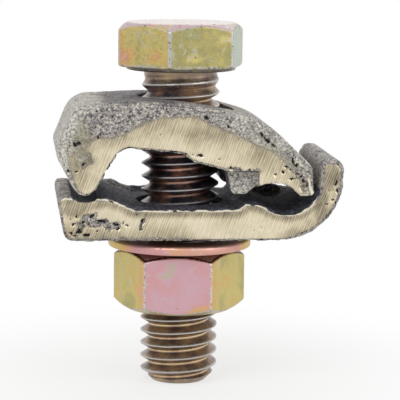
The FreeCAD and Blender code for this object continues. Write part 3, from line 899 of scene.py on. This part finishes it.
washer_low, washer_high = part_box("flat_washer")
washer_under, washer_over = washer_low[2] / MM, washer_high[2] / MM
washer_outer = washer_high[0] / MM
washer_inner = 5.15
washer = ringed_solid("washer_ring", [
    (ring(washer_inner), washer_under + 0.12), (ring(washer_inner + 0.12), washer_under),
    (ring(washer_inner + 0.9), washer_under), (ring(washer_outer - 0.9), washer_under),
    (ring(washer_outer - 0.16), washer_under), (ring(washer_outer - 0.05), washer_under + 0.04),
    (ring(washer_outer), washer_under + 0.15), (ring(washer_outer), washer_over - 0.30),
    (ring(washer_outer - 0.04), washer_over - 0.14), (ring(washer_outer - 0.14), washer_over - 0.04),
    (ring(washer_outer - 0.30), washer_over), (ring(washer_outer - 1.0), washer_over),
    (ring(washer_inner + 0.9), washer_over), (ring(washer_inner + 0.12), washer_over),
    (ring(washer_inner), washer_over - 0.12)], 240)
write_layers(
    washer,
    film=lambda x, y, z: 0.64 - 0.20 * smoothstep(6.0, 7.6, abs(x)),
    worn=lambda x, y, z: 0.22 if math.hypot(x, y) > washer_outer - 0.12 and z > washer_over - 0.2 else 0.06,
    # Painted shade darkens the washer's faces inside the rim
    grime=lambda x, y, z: 0.45 * smoothstep(washer_outer - 0.1, washer_outer - 0.6, math.hypot(x, y)))
washer.data.materials.append(plated)
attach(washer, "washer")
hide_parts("flat_washer")


# Nut. Cold-formed and tapped, chamfered on both faces and plated like the bolt. It runs on
# the thread and carries the washer up against the plate.

nut_low, nut_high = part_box("hex_nut")
nut_under, nut_over = nut_low[2] / MM, nut_high[2] / MM
nut_flats = 13.95
nut_clocking = math.radians(-6.4)
nut_rim = nut_flats / 2 - 0.50
nut_steps = 66
nut_upper_end = nut_over - 2.0


def nut_wall(z):
    cone = cone_reach(z, nut_under, nut_over, nut_rim)
    return lambda angle: soft_min(hexagon_reach(nut_flats, angle, nut_clocking), cone, 0.26)


nut_rows = [(ring(4.76), nut_under + 0.25), (ring(4.95), nut_under + 0.06), (ring(5.05), nut_under),
            (ring(5.6), nut_under), (ring(6.2), nut_under)]
for step in range(nut_steps + 1):
    height = nut_under + (nut_over - nut_under) * step / nut_steps
    nut_rows.append((nut_wall(height), height))
nut_rows += [(ring(6.2), nut_over), (ring(5.6), nut_over), (ring(5.05), nut_over),
             (ring(4.95), nut_over - 0.06), (ring(4.76), nut_over - 0.25)]
nut = ringed_solid("nut_body", nut_rows, around)


def nut_edge(x, y, z):
    return past_wall(x, y, z, nut_flats, nut_clocking, nut_under, nut_over, nut_rim)


def nut_film(x, y, z):
    number, corner = flat_number(x, y, nut_clocking)
    if nut_edge(x, y, z) > 0.0:
        return 0.62 if z > nut_upper_end else 0.40
    # Flats in turn: three behind, front left, front, front right
    film = (0.30, 0.55, 0.36, 0.36, 0.74, 0.34)[number]
    if number == 4:
        film += 0.20 * cloud(x, z, [(-1.9, -4.2, 1.3, 2.2, -0.2)])
        film += 0.06 * cloud(x, z, [(-2.6, -7.2, 2.0, 1.6, 0.0)])
        film -= 0.18 * cloud(x, z, [(3.8, -6.8, 1.6, 3.6, -0.2), (1.8, -8.8, 3.0, 1.2, 0.2)])
    else:
        film += 0.14 * smoothstep(0.45, 0.95, corner) * (1.0 if abs(x) < 6.0 else 0.0)
        film += 0.10 * cloud(x, z, [(-5.4, -6.6, 1.4, 1.6, 0.0), (5.2, -5.2, 1.2, 2.0, 0.0)])
    return film


def nut_wear(x, y, z):
    # Along the corners and edges, and less at the upper end
    corner = flat_number(x, y, nut_clocking)[1]
    edge = nut_edge(x, y, z)
    upright = smoothstep(0.93, 0.98, corner)
    crease = 1.0 - smoothstep(0.0, 0.30, abs(edge))
    if z > nut_upper_end:
        return max(0.36 * upright, 0.16 * crease, 0.06)
    return max(0.36 * upright, 0.40 * crease, 0.26 * (edge > 0.0), 0.06)


def nut_grime(x, y, z):
    # Painted shade round the upper chamfer, close under the washer
    if z <= nut_upper_end:
        return 0.0
    edge = nut_edge(x, y, z)
    line = smoothstep(0.0, 0.12, edge) * (1.0 - smoothstep(0.25, 0.45, edge))
    return 0.62 * line + 0.22 * (edge > 0.0)


write_layers(nut, film=nut_film, worn=nut_wear, grime=nut_grime)
nut.data.materials.append(plated)
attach(nut, "nut")
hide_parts("hex_nut")


# Floor, light and camera. A pale studio floor under broad soft lamps, seen a little from
# above and from the left of the jaws' front.

def studio_card():
    # Matt white paper. Away from the object it reads as plain white to the camera and in
    # reflections, and near the object it keeps the soft shadow.
    material, tree = blank_material("matt white paper")
    place = add(tree, "ShaderNodeTexCoord").outputs["Object"]
    level_place = add(tree, "ShaderNodeVectorMath", {0: place, 1: (1.0, 1.0, 0.0)},
                      operation="MULTIPLY").outputs["Vector"]
    away = add(tree, "ShaderNodeVectorMath", {0: level_place}, operation="LENGTH").outputs["Value"]
    plain = add(tree, "ShaderNodeMapRange",
                {"Value": away, "From Min": 6 * MM, "From Max": 50 * MM, "To Min": 0.7},
                interpolation_type="SMOOTHSTEP").outputs["Result"]
    path = add(tree, "ShaderNodeLightPath").outputs
    seen = add(tree, "ShaderNodeMath", {0: path["Is Camera Ray"], 1: path["Is Glossy Ray"]},
               operation="MAXIMUM").outputs[0]
    share = add(tree, "ShaderNodeMath", {0: seen, 1: plain}, operation="MULTIPLY").outputs[0]
    paper = add(tree, "ShaderNodeBsdfDiffuse", {"Color": linear("#F7F7F5")}).outputs[0]
    white = add(tree, "ShaderNodeEmission", {"Color": (1.0, 1.0, 1.0, 1.0), "Strength": 1.0}).outputs[0]
    card = add(tree, "ShaderNodeMixShader", {0: share, 1: paper, 2: white}).outputs[0]
    add(tree, "ShaderNodeOutputMaterial", {"Surface": card})
    return material


floor_mesh = bpy.data.meshes.new("floor")
floor_z = cad_box[0][2] - 0.1 * MM
floor_reach = 3.0
corners = ((-1, -1), (1, -1), (1, 1), (-1, 1))
floor_mesh.from_pydata([(x * floor_reach, y * floor_reach, floor_z) for x, y in corners], [], [(0, 1, 2, 3)])
floor = in_scene("floor", floor_mesh)
floor.data.materials.append(studio_card())

world = bpy.data.worlds.new("studio")
bpy.context.scene.world = world
world.use_nodes = True
tree = world.node_tree
tree.nodes.clear()
path = add(tree, "ShaderNodeLightPath").outputs
seen = add(tree, "ShaderNodeMath", {0: path["Is Camera Ray"], 1: path["Is Glossy Ray"]},
           operation="MAXIMUM").outputs[0]
seen = add(tree, "ShaderNodeMath", {0: seen, 1: path["Is Transmission Ray"]},
           operation="MAXIMUM").outputs[0]
strength = add(tree, "ShaderNodeMix", {0: seen, 2: 0.42, 3: 1.0}, data_type="FLOAT").outputs[0]
sky = add(tree, "ShaderNodeBackground", {"Color": (1.0, 1.0, 1.0, 1.0), "Strength": strength}).outputs[0]
add(tree, "ShaderNodeOutputWorld", {"Surface": sky})

for name, place, size, power in (
        ("key above left", (-160, -200, 230), 180, 0.42),
        ("fill right", (230, -160, 110), 200, 0.25),
        ("rim behind", (40, 240, 200), 160, 0.10)):
    data = bpy.data.lights.new(name, "AREA")
    data.shape = "SQUARE"
    data.size = size * MM
    data.energy = power
    light = in_scene(name, data)
    light.location = Vector(place) * MM
    light.rotation_euler = (Vector((0.0, 0.0, 0.003)) - light.location).to_track_quat("-Z", "Y").to_euler()

# The camera that was fitted to the photograph. Its picture is 400 pixels wide.
azimuth, elevation, roll = math.radians(-6.04), math.radians(8.39), math.radians(0.65)
aim = Vector((2.495, 0.0, 3.671)) * MM
distance = 221.64 * MM
focal_px, picture_px = 1814.5, 400
level_reach = math.cos(elevation)
back = Vector((math.sin(azimuth) * level_reach, -math.cos(azimuth) * level_reach, math.sin(elevation)))
right = (-back).cross(Vector((0.0, 0.0, 1.0))).normalized()
up = right.cross(-back)
right, up = right * math.cos(roll) + up * math.sin(roll), up * math.cos(roll) - right * math.sin(roll)
eye = aim + back * distance
camera_data = bpy.data.cameras.new("photo view")
camera_data.sensor_width = 36.0
camera_data.lens = camera_data.sensor_width * focal_px / picture_px
camera_data.clip_start = 0.01
camera_data.clip_end = 20.0
camera = in_scene("photo view", camera_data)
camera.matrix_world = Matrix((
    (right.x, up.x, back.x, eye.x), (right.y, up.y, back.y, eye.y), (right.z, up.z, back.z, eye.z),
    (0.0, 0.0, 0.0, 1.0)))
bpy.context.scene.camera = camera
bpy.context.scene.view_settings.view_transform = "Standard"
